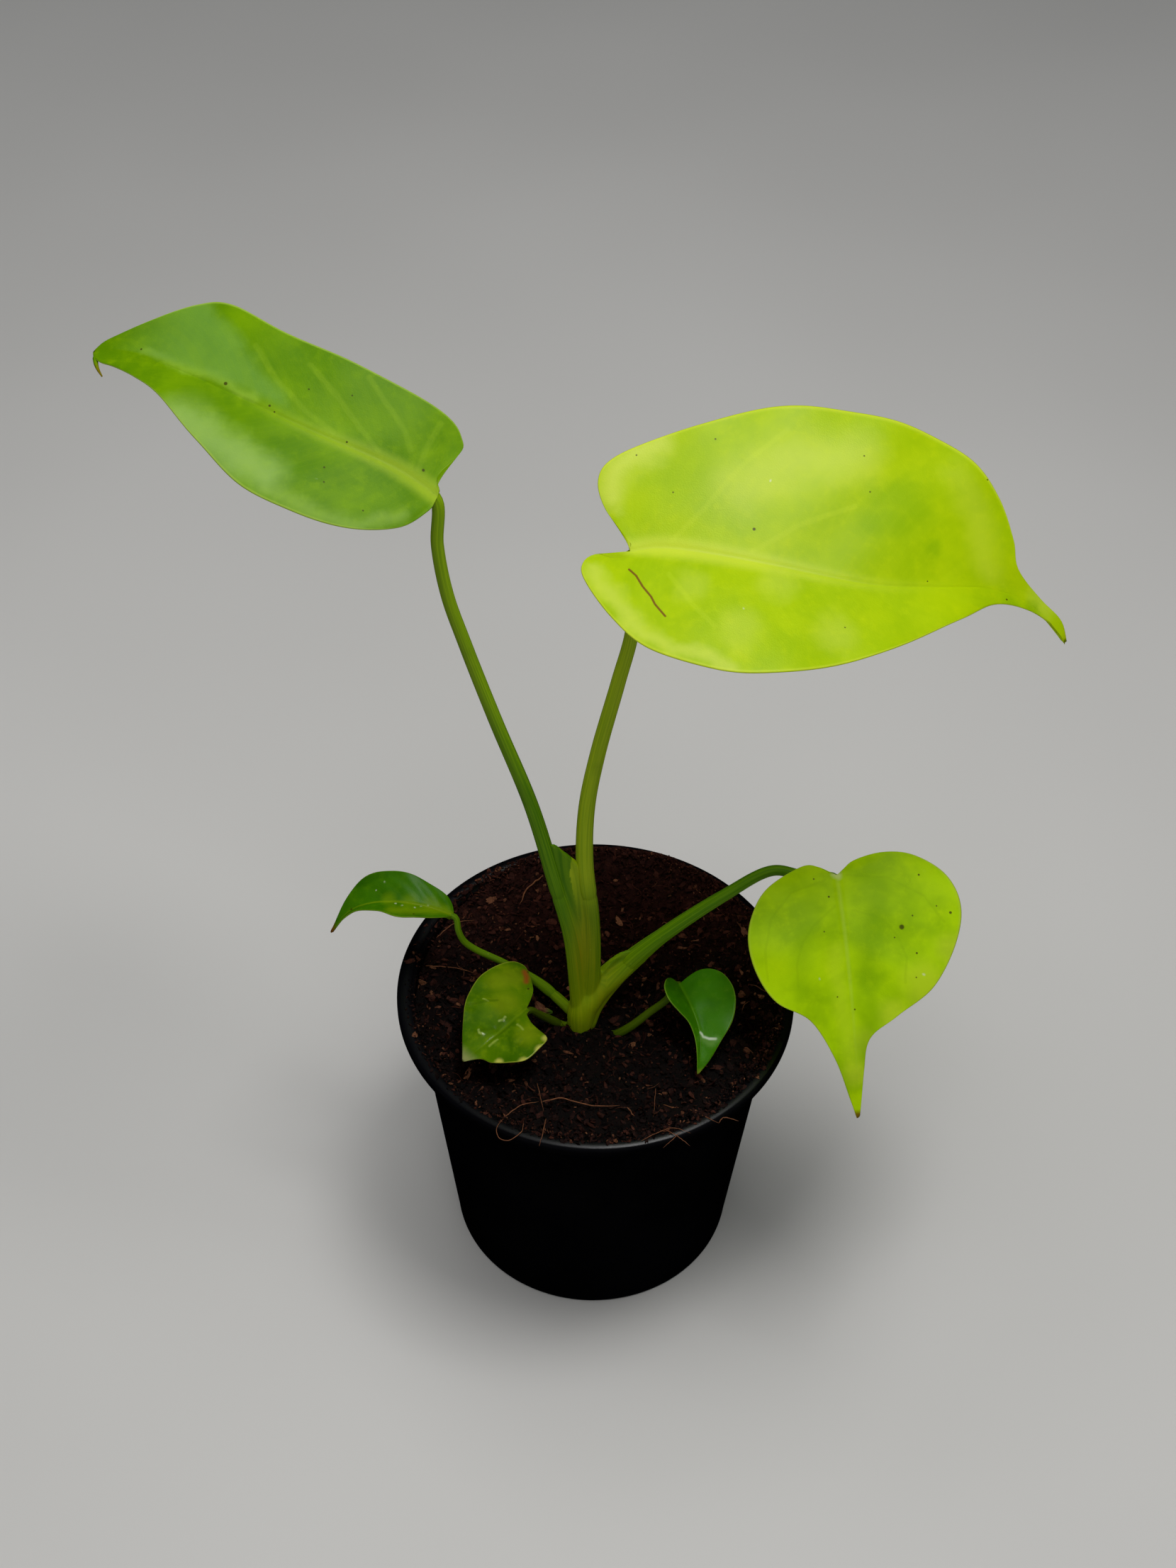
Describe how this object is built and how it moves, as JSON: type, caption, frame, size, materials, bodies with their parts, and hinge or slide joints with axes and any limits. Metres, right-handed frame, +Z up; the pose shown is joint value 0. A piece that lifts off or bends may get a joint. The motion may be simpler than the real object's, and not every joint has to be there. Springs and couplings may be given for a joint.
{
  "type": "potted climbing foliage plant",
  "caption": "Young lime and green climbing plant with glossy pointed leaves on long bent stalks, growing in coir mix in a round black nursery pot.",
  "frame": {"origin": "middle of the pot's underside, on the surface that the pot stands on", "axes": "+Z up along the pot's axis, +X to the viewer's right over the big lime leaf, +Y away from the viewer"},
  "size_m": [0.2483, 0.12, 0.32],
  "materials": {
    "pot_plastic": "satin moulded plastic",
    "potting_mix": "loose, crumbly, slightly moist",
    "green_stem": "satin, finely striped",
    "mid_green_leaf": "waxy gloss",
    "lime_leaf": "waxy gloss",
    "dark_green_leaf": "waxy gloss",
    "dry_tissue": "dry and papery",
    "coir_fibre": "dry fibre"
  },
  "bodies": {
    "root": {"pot": "pot_plastic", "soil": "potting_mix", "stem_base": "green_stem", "stalk_tall_left": "green_stem", "blade_tall_left": "mid_green_leaf", "stalk_tall_right": "green_stem", "blade_tall_right": "lime_leaf", "stalk_heart": "green_stem", "blade_heart": "lime_leaf", "stalk_small_left": "green_stem", "blade_small_left": "dark_green_leaf", "stalk_bitten": "green_stem", "blade_bitten": "mid_green_leaf", "stalk_small_right": "green_stem", "blade_small_right": "dark_green_leaf", "dry_sheath": "dry_tissue", "fibre_front": "coir_fibre", "fibre_rim": "coir_fibre", "fibre_right": "coir_fibre", "fibre_back": "coir_fibre", "fibre_left": "coir_fibre"}
  },
  "joints": []
}
